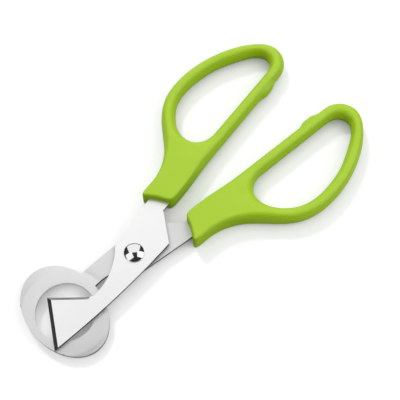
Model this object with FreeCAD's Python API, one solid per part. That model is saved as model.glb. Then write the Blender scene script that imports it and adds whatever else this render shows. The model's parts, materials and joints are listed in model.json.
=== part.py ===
"""Egg topper: scissors for taking the top off a small egg.

Two stamped steel blades turn on one rivet.  The ring blade ends in a dished
ring that the egg is held up to, and the cutter blade ends in a pointed head
that slides over the ring and slices the shell.  Each blade's tang is moulded
into a plastic handle with one finger loop.

Plan shapes are drawn with the scissors closed: the pivot is at the origin, the
handles lie along +X, the heads along -X, and the cutter's handle is on the +Y
side.  Each side is then turned about the pivot to its half of the rest
opening.  The finished model stands on Z = 0 with its origin at the middle of
its footprint.  Lengths are in millimetres and angles in degrees.
"""
import FreeCAD, Part
import math
import os

Vector = FreeCAD.Vector
UP = Vector(0, 0, 1)
TOLERANCE = 1e-3            # for picking edges by their place

# ---- Opening ---------------------------------------------------------------
rest_half_opening = 6.1     # each side's turn from closed to the rest pose

# ---- Handles ---------------------------------------------------------------
handle_height = 8.4         # thickness of a handle's base, standing on the floor
loop_height = 6.8           # thickness of its loop, at the base's mid height
loop_ramp_start = 44.0      # from the pivot to where the base starts to fall to the loop
loop_ramp_length = 10.0
bar_width = 4.8             # width of the loop's inner bar, seen from above
outer_bar_width = 5.05      # the same of its outer bar, where the loop is widest
loop_end_width = 5.6        # the loop is thicker round its far end
finger_hole_length = 48.0
finger_hole_width = 20.2
finger_hole_front = 47.6    # from the pivot to the near end of the finger hole
bar_gap = 1.35              # from the closed scissors' middle line to the inner bar
base_gap = 1.0              # the same at the front of the base
nub_gap = 0.3               # the same at the stop nub, which meets its twin first
nub_offset = 31.6           # from the finger hole's front to the nub's front ramp
nub_length = 9.6            # ramps included
nub_ramp = 2.8
base_front_outer = 17.3     # front of the base at its outer corner
base_front_inner = 22.6     # front of the base at its inner corner
base_outer_y = 11.8         # outer side of the base, at its front
base_notch_depth = 1.1      # hollow of the base's front face, between its corners
loop_rounding = 2.2         # rounding of every long edge of a handle
least_crown = 0.2           # least flat left between two roundings
front_rounding = 0.5        # rounding round the front face of the base

# ---- Tangs -----------------------------------------------------------------
tang_inner_wall = 0.9       # plastic between the tang and the base's inner side
tang_outer_wall = 3.0       # plastic between the tang and the base's outer side
tang_end_wall = 6.6         # plastic between the tang's end and the finger hole
tang_corner_r = 1.5
anchor_hole_r = 1.6         # the plastic runs through these holes in the tang
anchor_hole_pitch = 8.0
anchor_hole_count = 2
anchor_hole_end = 5.0       # from the last hole's centre to the tang's end

# ---- Egg hole --------------------------------------------------------------
egg_hole_r = 10.6
egg_hole_x = -31.5
egg_hole_y = -1.1

# ---- Blades ----------------------------------------------------------------
blade_thickness = 1.4
blade_gap = 0.05            # running gap between the two blades
heel_x = 10.3               # heel corner, behind the pivot
heel_y = 7.7
back_corner_x = -1.5        # where a blade's back edge turns into its relief
cutter_back_y = 7.5         # the cutter blade's back corner
cutter_shoulder_x = 19.2    # where the heel's slope reaches the tang
cutter_back_end_x = 19.2    # where the back edge reaches the tang's outer side
cutter_relief_offset = 1.6  # from the egg hole's near side to the relief's end
cutter_relief_y = 0.95
cutter_relief_depth = 1.9   # how far the relief bows in from its own chord
ring_back_y = 6.9           # the same sizes on the ring blade
ring_shoulder_x = 20.6
ring_back_end_x = 27.5
ring_relief_offset = 2.8
ring_relief_y = 0.2
ring_relief_depth = 2.65

# ---- Cutter head -----------------------------------------------------------
tooth_offset = 0.4          # the piercing corner, along X from the hole's centre
tooth_reach = 4.5           # the piercing corner, beyond the hole's far side in Y
tip_reach = 1.8             # the tip, beyond the hole's far side in X
tip_y = -0.7
neck_reach = 1.3            # the short edge's inner end, inside the hole's near side
neck_y = 2.65
neck_bow = 0.3              # hollow of the head's inner corner, up to the relief
neck_chamfer = 0.5          # bevel round that hollow
sole_bow = 1.15             # bow of the long lower edge
long_bevel_width = 1.4      # ground bevel from tooth to tip
short_bevel_width = 1.25    # ground bevel from tooth to neck
long_bevel_run_out = 1.4    # how far each bevel runs on past its edge's start
short_bevel_run_out = 0.6
edge_land = 0.2             # thickness left at a cutting edge

# ---- Ring head -------------------------------------------------------------
rim_land = 0.5              # level band round the egg hole
cup_width = 5.2             # from the egg hole out to the fold of the dish
cup_drop = 0.5              # fall of the cup from the rim to the fold
cup_bulge = 0.4             # share of that fall reached half way out
fold_rounding = 1.5
skirt_drop = 1.1            # further fall of the skirt, at the oval's far ends
side_band = 2.8             # the oval's width beyond the egg hole, along the blade
end_band = 8.0              # the same across the blade
ring_offset_x = 0.2         # from the egg hole's centre to the oval's
ring_offset_y = 1.0
neck_ramp = 2.4             # length of the rise from the fold back up to the shank
shank_width = 6.6           # of the ring blade's shank, at its head

# ---- Pivot -----------------------------------------------------------------
rivet_shank_r = 2.0
rivet_head_r = 3.6
rivet_head_height = 1.6
rivet_head_edge = 0.35      # straight side below the dome
cap_r = 3.3
cap_height = 1.5
cap_edge = 0.35
cap_crown = 0.6             # metal left over the cap's bore
running_clearance = 0.05    # radial, rivet in the cutter blade
seat_clearance = 0.01       # radial, rivet in the ring blade and in its cap
head_clearance = 0.03       # under the rivet's head

# ---- Places and levels worked out from the sizes ----------------------------
margin = 1.0                # how far a shaping solid runs past what it shapes
shear_z = handle_height / 2
ring_top = shear_z - blade_gap / 2
ring_bottom = ring_top - blade_thickness
cutter_bottom = shear_z + blade_gap / 2
cutter_top = cutter_bottom + blade_thickness
column_bottom = -handle_height
column_top = 2 * handle_height

front_x = max(base_front_outer, base_front_inner)
loop_drop = (handle_height - loop_height) / 2
edge_rounding = min(loop_rounding, (min(bar_width, loop_height) - least_crown) / 2)
tang_inner_y = base_gap + tang_inner_wall
tang_outer_y = base_outer_y - tang_outer_wall
tang_end_x = finger_hole_front - tang_end_wall

hole_near_x = egg_hole_x + egg_hole_r
hole_far_x = egg_hole_x - egg_hole_r
tooth = (egg_hole_x + tooth_offset, egg_hole_y + egg_hole_r + tooth_reach)
tip = (hole_far_x - tip_reach, tip_y)
neck = (hole_near_x - neck_reach, neck_y)
ring_half_width = egg_hole_r + side_band
ring_half_length = egg_hole_r + end_band
crease_r = egg_hole_r + cup_width


# ---- Drawing ---------------------------------------------------------------
def point(x, y, z=0.0):
    """Return the vector of a point."""
    return Vector(x, y, z)


def line(start, end):
    """Return a straight edge between two (x, y) points."""
    return Part.LineSegment(point(*start), point(*end)).toShape()


def arc(start, middle, end):
    """Return a circular edge through three (x, y) points."""
    return Part.Arc(point(*start), point(*middle), point(*end)).toShape()


def chain(points):
    """Return the straight edges that join (x, y) points in turn."""
    return [line(a, b) for a, b in zip(points, points[1:])]


def smooth_edge(points, start_direction, end_direction):
    """Return one smooth edge through (x, y) points, with its end tangents."""
    curve = Part.BSplineCurve()
    curve.interpolate(
        Points=[point(*p) for p in points],
        InitialTangent=point(*start_direction),
        FinalTangent=point(*end_direction),
        Scale=False,
    )
    return curve.toShape()


def bowed_middle(start, end, bow):
    """Return the middle of a chord, moved to the chord's left by bow."""
    dx = end[0] - start[0]
    dy = end[1] - start[1]
    length = math.hypot(dx, dy)
    middle_x = (start[0] + end[0]) / 2 - bow * dy / length
    middle_y = (start[1] + end[1]) / 2 + bow * dx / length
    return middle_x, middle_y


def prism(edges, bottom, top):
    """Return the solid between two heights over a closed chain of edges."""
    wire = Part.Wire(Part.__sortEdges__(edges))
    face = Part.Face(wire)
    face.translate(point(0, 0, bottom))
    return face.extrude(point(0, 0, top - bottom))


def mirrored(points, side):
    """Return (x, y) points, flipped across the X axis when side is -1."""
    return [(x, y * side) for x, y in points]


def cylinder(radius, bottom, top, x=0.0, y=0.0):
    """Return an upright cylinder between two heights."""
    return Part.makeCylinder(radius, top - bottom, point(x, y, bottom), UP)


def profile_line(start, end):
    """Return a straight edge between two (radius, height) points."""
    return Part.LineSegment(Vector(start[0], 0, start[1]), Vector(end[0], 0, end[1])).toShape()


def profile_arc(start, middle, end):
    """Return a circular edge through three (radius, height) points."""
    ends = [Vector(r, 0, z) for r, z in (start, middle, end)]
    return Part.Arc(*ends).toShape()


def turned(profile, x=0.0, y=0.0):
    """Return the solid swept by a closed (radius, height) edge chain round Z."""
    wire = Part.Wire(Part.__sortEdges__(profile))
    solid = Part.Face(wire).revolve(point(0, 0), UP, 360)
    solid.translate(point(x, y))
    return solid


# ---- Handles ---------------------------------------------------------------
# Shares of the loop's outer length and width, from the near end of the finger
# hole and the inner bar's face, going round the far end to the outer shoulder.
OUTER_LOOP = [
    (0.954, 0.089), (1.0, 0.294), (0.93, 0.539), (0.745, 0.794),
    (0.524, 0.951), (0.321, 1.0), (0.137, 0.945), (-0.03, 0.737),
]
# Shares of the way from the base's outer front corner to that shoulder.
SHOULDER = [(0.71, 0.357), (0.46, 0.06)]
# Shares of the finger hole's own length and width, going round its far end.
HOLE_LOOP = [
    (0.958, 0.051), (1.0, 0.233), (0.954, 0.444), (0.845, 0.63), (0.678, 0.841),
    (0.51, 0.958), (0.354, 1.0), (0.207, 0.939), (0.092, 0.767), (0.015, 0.522),
    (0.01, 0.218), (0.082, 0.047),
]
OUTER_TURN_START = 0.838    # share of the outer length where the inner bar ends
HOLE_TURN_START = 0.866     # the same on the finger hole
HOLE_BAR_START = 0.176      # where the finger hole's straight side begins


def spread(shares, origin, length, width):
    """Return shares of a length and a width as (x, y) points from an origin."""
    return [(origin[0] + u * length, origin[1] + v * width) for u, v in shares]


def handle_outline():
    """Return the edges round one handle's outside, on the +Y side."""
    loop_origin = (finger_hole_front, bar_gap)
    loop_length = finger_hole_length + loop_end_width
    loop_width = bar_width + finger_hole_width + outer_bar_width
    turn = (finger_hole_front + OUTER_TURN_START * loop_length, bar_gap)
    far_round = spread(OUTER_LOOP, loop_origin, loop_length, loop_width)
    far_shoulder = far_round[-1]

    outer_front = (base_front_outer, base_outer_y)
    inner_front = (base_front_inner, base_gap)
    notch = bowed_middle(outer_front, inner_front, base_notch_depth)
    rise = far_shoulder[1] - base_outer_y
    shoulder = spread(SHOULDER, outer_front, far_shoulder[0] - base_front_outer, rise)
    back = [turn] + far_round + shoulder + [outer_front]
    return [
        line(inner_front, turn),
        smooth_edge(back, (1, 0), (-1, 0)),
        arc(outer_front, notch, inner_front),
    ]


def finger_hole():
    """Return the edges round the finger hole, on the +Y side."""
    origin = (finger_hole_front, bar_gap + bar_width)
    points = spread(HOLE_LOOP, origin, finger_hole_length, finger_hole_width)
    start = (origin[0] + HOLE_TURN_START * finger_hole_length, origin[1])
    end = (origin[0] + HOLE_BAR_START * finger_hole_length, origin[1])
    return [line(end, start), smooth_edge([start] + points + [end], (1, 0), (1, 0))]


def stop_nub():
    """Return the low pad on the inner bar that meets its twin when closed."""
    start = finger_hole_front + nub_offset
    end = start + nub_length
    root_y = bar_gap + edge_rounding
    edges = chain([
        (start, root_y),
        (start, bar_gap),
        (start + nub_ramp, nub_gap),
        (end - nub_ramp, nub_gap),
        (end, bar_gap),
        (end, root_y),
        (start, root_y),
    ])
    return prism(edges, loop_drop + edge_rounding, handle_height - loop_drop - edge_rounding)


def space_over_loop():
    """Return the solid over the loop, with a soft ramp up to the base's top."""
    start = (loop_ramp_start, handle_height)
    end = (loop_ramp_start + loop_ramp_length, handle_height - loop_drop)
    middle = ((start[0] + end[0]) / 2, (start[1] + end[1]) / 2)
    half_turn = math.atan2(loop_drop, loop_ramp_length)
    bow = math.hypot(loop_drop, loop_ramp_length) / 4 * math.tan(half_turn / 2)
    far_x = finger_hole_front + finger_hole_length + loop_end_width + margin
    ceiling = handle_height + margin
    profile = [
        profile_arc(start, bowed_middle(start, middle, bow), middle),
        profile_arc(middle, bowed_middle(middle, end, -bow), end),
        profile_line(end, (far_x, end[1])),
        profile_line((far_x, end[1]), (far_x, ceiling)),
        profile_line((far_x, ceiling), (loop_ramp_start, ceiling)),
        profile_line((loop_ramp_start, ceiling), start),
    ]
    face = Part.Face(Part.Wire(Part.__sortEdges__(profile)))
    face.translate(point(0, -margin))
    return face.extrude(point(0, bar_width + finger_hole_width + outer_bar_width + 3 * margin))


def long_edges(body):
    """Return the edges along a handle's sides, without its front face."""
    flat = [e for e in body.Edges if e.BoundBox.ZLength < loop_drop]
    return [
        e for e in flat
        if e.BoundBox.XLength > margin and e.BoundBox.XMax > front_x + margin
    ]


def front_face_edges(body):
    """Return the edges round a handle's front face."""
    return [e for e in body.Edges if e.BoundBox.XMax < front_x + front_rounding / 2]


def make_handle(blade, side):
    """Return a handle moulded round a blade's tang; side is +1 or -1 in Y."""
    body = prism(handle_outline(), 0, handle_height)
    body = body.cut(prism(finger_hole(), 0, handle_height))
    over = space_over_loop()
    under = over.mirror(point(0, 0, handle_height / 2), UP)
    body = body.cut(over).cut(under)
    body = body.makeFillet(edge_rounding, long_edges(body))
    body = body.makeFillet(front_rounding, front_face_edges(body))
    body = body.fuse(stop_nub())
    if side < 0:
        body = body.mirror(point(0, 0), Vector(0, 1, 0))
    return body.cut(blade)


# ---- Blades ----------------------------------------------------------------
def tang_corners(plan):
    """Return the two upright edges at the end of a plan's tang."""
    return [
        e for e in plan.Edges
        if e.BoundBox.XMin > tang_end_x - TOLERANCE and e.BoundBox.YLength < TOLERANCE
    ]


def back_edges(back_end_x, back_y, relief_end, relief_depth, side):
    """Return a blade's back, from the tang's end to the relief's end.

    back_end_x is where the back edge reaches the tang, and back_y is the back
    corner's distance from the middle line.  side is +1 when the tang is on +Y.
    """
    corners = mirrored([
        (tang_end_x, tang_outer_y),
        (back_end_x, tang_outer_y),
        (back_corner_x, back_y),
    ], side)
    relief_middle = bowed_middle(corners[-1], relief_end, side * relief_depth)
    return chain(corners) + [arc(corners[-1], relief_middle, relief_end)]


def blade_plan(shoulder_x, back, head, side, bottom, top):
    """Return a blade's plan shape as a solid between two heights.

    The plan runs from the heel to the tang's end, and the edges of its back
    and its head close it.  side is +1 when the tang is on +Y.
    """
    front = chain(mirrored([
        (heel_x, -heel_y),
        (shoulder_x, tang_inner_y),
        (tang_end_x, tang_inner_y),
        (tang_end_x, tang_outer_y),
    ], side))
    plan = prism(front + back + head, bottom, top)
    plan = plan.makeFillet(tang_corner_r, tang_corners(plan))
    hole_y = side * (tang_inner_y + tang_outer_y) / 2
    for step in range(anchor_hole_count):
        hole_x = tang_end_x - anchor_hole_end - step * anchor_hole_pitch
        plan = plan.cut(cylinder(anchor_hole_r, bottom, top, hole_x, hole_y))
    return plan


def ground_away(solid, start, end, width, run_out):
    """Cut a ground bevel along a cutting edge that has the blade on its left.

    The bevel goes run_out past the edge's start, and well past its end.
    """
    dx = end[0] - start[0]
    dy = end[1] - start[1]
    slope = (blade_thickness - edge_land) / width
    reach = width + margin
    top = edge_land + reach * slope
    profile = [
        Vector(0, -reach, edge_land),
        Vector(0, 0, edge_land),
        Vector(0, reach, top),
        Vector(0, -reach, top),
        Vector(0, -reach, edge_land),
    ]
    wedge = Part.Face(Part.makePolygon(profile))
    wedge = wedge.extrude(Vector(run_out + math.hypot(dx, dy) + reach, 0, 0))
    wedge.translate(Vector(-run_out, 0, 0))
    wedge.rotate(point(0, 0), UP, math.degrees(math.atan2(dy, dx)))
    wedge.translate(point(*start, cutter_bottom))
    return solid.cut(wedge)


def neck_edges(blade, relief_end):
    """Return the top edge of the cutter's hollow inner corner."""
    return [
        e for e in blade.Edges
        if e.BoundBox.ZMin > cutter_top - TOLERANCE
        and abs(e.BoundBox.XMin - neck[0]) < TOLERANCE
        and abs(e.BoundBox.XMax - relief_end[0]) < TOLERANCE
    ]


def make_cutter_blade():
    """Return the cutter blade, with its tang on the +Y side."""
    heel = (heel_x, -heel_y)
    relief_end = (hole_near_x + cutter_relief_offset, cutter_relief_y)
    head = [
        arc(relief_end, bowed_middle(relief_end, neck, neck_bow), neck),
        line(neck, tooth),
        line(tooth, tip),
        arc(tip, bowed_middle(tip, heel, -sole_bow), heel),
    ]
    back = back_edges(cutter_back_end_x, cutter_back_y, relief_end, cutter_relief_depth, 1)
    blade = blade_plan(cutter_shoulder_x, back, head, 1, cutter_bottom, cutter_top)
    blade = blade.makeChamfer(neck_chamfer, neck_edges(blade, relief_end))
    blade = ground_away(blade, tooth, tip, long_bevel_width, long_bevel_run_out)
    blade = ground_away(blade, neck, tooth, short_bevel_width, short_bevel_run_out)
    return blade.cut(cylinder(rivet_shank_r + running_clearance, cutter_bottom, cutter_top))


def fold_edges(plate):
    """Return the edges of a turned plate's fold, above and below."""
    reach = 2 * crease_r
    return [
        e for e in plate.Edges
        if abs(e.BoundBox.XLength - reach) < TOLERANCE and e.BoundBox.ZLength < TOLERANCE
    ]


def dished_plate(outer_run):
    """Return a turned plate round the egg hole: rim, cup, then outer_run.

    outer_run lists the plate's top outside the fold, as (radius, drop) pairs,
    where drop is the fall below the rim.
    """
    rim_r = egg_hole_r + rim_land
    middle_r = (rim_r + crease_r) / 2
    middle_drop = cup_bulge * cup_drop
    top = [(r, ring_top - drop) for r, drop in [(crease_r, cup_drop)] + outer_run]
    under = [(r, z - blade_thickness) for r, z in top]
    corners = top + under[::-1]
    edges = [profile_line(a, b) for a, b in zip(corners, corners[1:])]
    cup_middle = (middle_r, ring_bottom - middle_drop)
    edges.append(profile_arc(under[0], cup_middle, (rim_r, ring_bottom)))
    edges.append(profile_line((rim_r, ring_bottom), (egg_hole_r, ring_bottom)))
    edges.append(profile_line((egg_hole_r, ring_bottom), (egg_hole_r, ring_top)))
    edges.append(profile_line((egg_hole_r, ring_top), (rim_r, ring_top)))
    edges.append(profile_arc((rim_r, ring_top), (middle_r, ring_top - middle_drop), top[0]))
    plate = turned(edges)
    plate = plate.makeFillet(fold_rounding, fold_edges(plate))
    plate.translate(point(egg_hole_x, egg_hole_y))
    return plate


def make_ring_head():
    """Return the dished oval head round the egg hole."""
    skirt_end_r = ring_half_length + abs(ring_offset_y)
    skirt_slope = skirt_drop / (skirt_end_r - crease_r)
    centre_x = egg_hole_x + ring_offset_x
    centre_y = egg_hole_y + ring_offset_y
    oval = Part.Ellipse(
        point(centre_x, centre_y + ring_half_length),
        point(centre_x + ring_half_width, centre_y),
        point(centre_x, centre_y),
    )
    column = prism([oval.toShape()], column_bottom, column_top)
    skirt = (skirt_end_r + margin, cup_drop + skirt_drop + margin * skirt_slope)
    return dished_plate([skirt]).common(column)


def make_ring_blade():
    """Return the ring blade, with its tang on the -Y side."""
    relief_end = (hole_near_x + ring_relief_offset, -ring_relief_y)
    shank_end_x = (egg_hole_x + hole_near_x) / 2
    outside_corner = (shank_end_x, shank_width - ring_relief_y)
    head = chain([relief_end, (shank_end_x, -ring_relief_y), outside_corner, (heel_x, heel_y)])
    back = back_edges(ring_back_end_x, ring_back_y, relief_end, ring_relief_depth, -1)
    column = blade_plan(ring_shoulder_x, back, head, -1, column_bottom, column_top)
    tang_r = math.hypot(tang_end_x - egg_hole_x, tang_outer_y - egg_hole_y)
    shank = dished_plate([(crease_r + neck_ramp, 0), (tang_r + margin, 0)]).common(column)
    blade = shank.fuse(make_ring_head())
    blade = blade.cut(cylinder(egg_hole_r, column_bottom, column_top, egg_hole_x, egg_hole_y))
    blade = blade.cut(cylinder(rivet_shank_r + seat_clearance, column_bottom, column_top))
    return blade.removeSplitter()


# ---- Pivot -----------------------------------------------------------------
def dome_profile(radius, base, edge, height):
    """Return the top and side of a domed disc, as (radius, height) edges."""
    rise = height - edge
    sphere_r = (radius ** 2 + rise ** 2) / (2 * rise)
    half_turn = math.atan2(rise, radius)
    shoulder = (radius, base + edge)
    crown_z = base + height
    middle_z = crown_z - sphere_r * (1 - math.cos(half_turn))
    middle = (sphere_r * math.sin(half_turn), middle_z)
    return [profile_line((radius, base), shoulder), profile_arc(shoulder, middle, (0, crown_z))]


def make_rivet():
    """Return the pivot rivet: a domed head on a shank that ends in the cap."""
    head_base = cutter_top + head_clearance
    tail = ring_bottom - (cap_height - cap_crown) + seat_clearance
    edges = dome_profile(rivet_head_r, head_base, rivet_head_edge, rivet_head_height)
    edges.append(profile_line((0, head_base + rivet_head_height), (0, tail)))
    edges.append(profile_line((0, tail), (rivet_shank_r, tail)))
    edges.append(profile_line((rivet_shank_r, tail), (rivet_shank_r, head_base)))
    edges.append(profile_line((rivet_shank_r, head_base), (rivet_head_r, head_base)))
    return turned(edges)


def make_cap():
    """Return the rivet's cap, pressed on the shank's tail under the ring blade."""
    bore_r = rivet_shank_r + seat_clearance
    bore_depth = cap_height - cap_crown
    edges = dome_profile(cap_r, 0, cap_edge, cap_height)
    edges.append(profile_line((0, cap_height), (0, bore_depth)))
    edges.append(profile_line((0, bore_depth), (bore_r, bore_depth)))
    edges.append(profile_line((bore_r, bore_depth), (bore_r, 0)))
    edges.append(profile_line((bore_r, 0), (cap_r, 0)))
    cap = turned(edges)
    cap.rotate(point(0, 0), Vector(1, 0, 0), 180)
    cap.translate(point(0, 0, ring_bottom))
    return cap


# ---- Assembly --------------------------------------------------------------
def build_parts():
    """Return every piece by name, at the rest pose, standing on Z = 0."""
    cutter_blade = make_cutter_blade()
    ring_blade = make_ring_blade()
    cutter_side = {
        "cutter_blade": cutter_blade,
        "cutter_handle": make_handle(cutter_blade, 1),
    }
    ring_side = {
        "ring_blade": ring_blade,
        "ring_handle": make_handle(ring_blade, -1),
        "pivot_rivet": make_rivet(),
        "rivet_cap": make_cap(),
    }
    for shape in cutter_side.values():
        shape.rotate(point(0, 0), UP, rest_half_opening)
    for shape in ring_side.values():
        shape.rotate(point(0, 0), UP, -rest_half_opening)
    parts = {**cutter_side, **ring_side}
    box = Part.makeCompound(list(parts.values())).optimalBoundingBox(False)
    for shape in parts.values():
        shape.translate(point(-box.Center.x, -box.Center.y, -box.ZMin))
    print("The pivot's axis is at", round(-box.Center.x, 4), round(-box.Center.y, 4))
    return parts


def main():
    """Build the egg topper and write one STEP file for each piece."""
    os.makedirs("parts", exist_ok=True)
    for name, shape in build_parts().items():
        shape.exportStep("parts/" + name + ".step")
        print(name, "solids", len(shape.Solids), "volume", round(shape.Volume, 2))


main()
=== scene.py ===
"""Dress the egg topper: moulded handles, two ground steel blades and a polished rivet.

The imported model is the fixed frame.  Pieces are drawn in millimetres in the
drawing frame of their own side, where the scissors are closed, the pivot is the
origin and the handles lie along +X, and they are then set in their places.
"""

import copy
import json
import logging
import math
from dataclasses import dataclass
from enum import Enum
from typing import Any, Callable

import bmesh
import bpy
import numpy as np
from mathutils import Matrix, Vector


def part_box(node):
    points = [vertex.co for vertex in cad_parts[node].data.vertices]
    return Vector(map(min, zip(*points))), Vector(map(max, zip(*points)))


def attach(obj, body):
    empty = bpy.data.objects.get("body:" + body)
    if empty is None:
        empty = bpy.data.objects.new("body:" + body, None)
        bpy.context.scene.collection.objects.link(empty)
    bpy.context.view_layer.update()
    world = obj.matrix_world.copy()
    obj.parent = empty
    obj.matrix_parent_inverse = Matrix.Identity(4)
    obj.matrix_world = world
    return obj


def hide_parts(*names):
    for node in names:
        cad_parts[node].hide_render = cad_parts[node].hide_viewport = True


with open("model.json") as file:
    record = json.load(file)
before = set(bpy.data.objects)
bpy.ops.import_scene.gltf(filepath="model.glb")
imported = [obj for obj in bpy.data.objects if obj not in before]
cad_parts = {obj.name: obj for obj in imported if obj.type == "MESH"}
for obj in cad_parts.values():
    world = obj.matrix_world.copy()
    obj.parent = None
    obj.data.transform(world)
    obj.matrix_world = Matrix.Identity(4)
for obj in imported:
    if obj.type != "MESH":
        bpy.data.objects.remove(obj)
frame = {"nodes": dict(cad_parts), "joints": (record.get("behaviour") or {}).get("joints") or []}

LOG = logging.getLogger("egg_topper")
MM = 0.001  # a millimetre, in metres
WELD = 0.0005  # vertices nearer than this are one, in millimetres
LEVEL_SLACK = 0.001  # how far below a level a face still counts as on it, in millimetres
NOISE_MEAN = 0.5
PIVOT = Vector(frame["joints"][0]["pos_m"])

Colour = tuple[float, float, float]
Section = list[tuple[float, float]]


class Side(Enum):
    """The scissors' two sides, by the sign of their handle's Y."""

    CUTTER = 1
    RING = -1

    @property
    def body(self) -> str:
        """Return the name of the body that this side's pieces ride on."""
        return "cutter_side" if self is Side.CUTTER else "ring_side"

    @property
    def word(self) -> str:
        """Return the word that this side's pieces are named by."""
        return "cutter" if self is Side.CUTTER else "ring"


@dataclass(frozen=True)
class Drawing:
    """The drawing frame of one side, in millimetres, with the scissors closed.

    The ring side is drawn as the cutter side's mirror image, so both handles
    lie on +Y of their own drawing.

    Attributes:
        side: Which side of the scissors is drawn.
        half_opening: Its turn from closed to rest, in degrees.
    """

    side: Side
    half_opening: float = 6.1

    def _turn(self) -> Matrix:
        """Return the turn from closed to rest about the vertical."""
        return Matrix.Rotation(math.radians(self.side.value * self.half_opening), 3, "Z")

    def place(self, x: float, y: float, z: float) -> Vector:
        """Return a drawn point's place on the bench, in millimetres.

        Args:
            x: Distance from the pivot along the closed scissors.
            y: Distance from their middle line, towards the side's own handle.
            z: Height above the floor.

        Returns:
            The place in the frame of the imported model, in millimetres.
        """
        flat = self._turn() @ Vector((x, self.side.value * y, 0))
        return Vector((PIVOT.x / MM + flat.x, PIVOT.y / MM + flat.y, z))

    def draw(self, place: Vector) -> Vector:
        """Return a place on the bench as a drawn point.

        Args:
            place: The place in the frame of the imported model, in millimetres.

        Returns:
            The drawn point, in millimetres.
        """
        level = Vector((place.x - PIVOT.x / MM, place.y - PIVOT.y / MM, 0))
        flat = self._turn().transposed() @ level
        return Vector((flat.x, self.side.value * flat.y, place.z))


def ease(value: float, start: float, end: float) -> float:
    """Return a smooth step from 0 at start to 1 at end."""
    share = min(max((value - start) / (end - start), 0.0), 1.0)
    return share * share * (3 - 2 * share)


def mix(low: float, high: float, share: float) -> float:
    """Return the value that lies a share of the way from low to high."""
    return low + (high - low) * share


# ---- Mesh work -------------------------------------------------------------
def clear_selection() -> None:
    """Leave edit mode and deselect every object."""
    if bpy.context.object and bpy.context.object.mode != "OBJECT":
        bpy.ops.object.mode_set(mode="OBJECT")
    bpy.ops.object.select_all(action="DESELECT")


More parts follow.
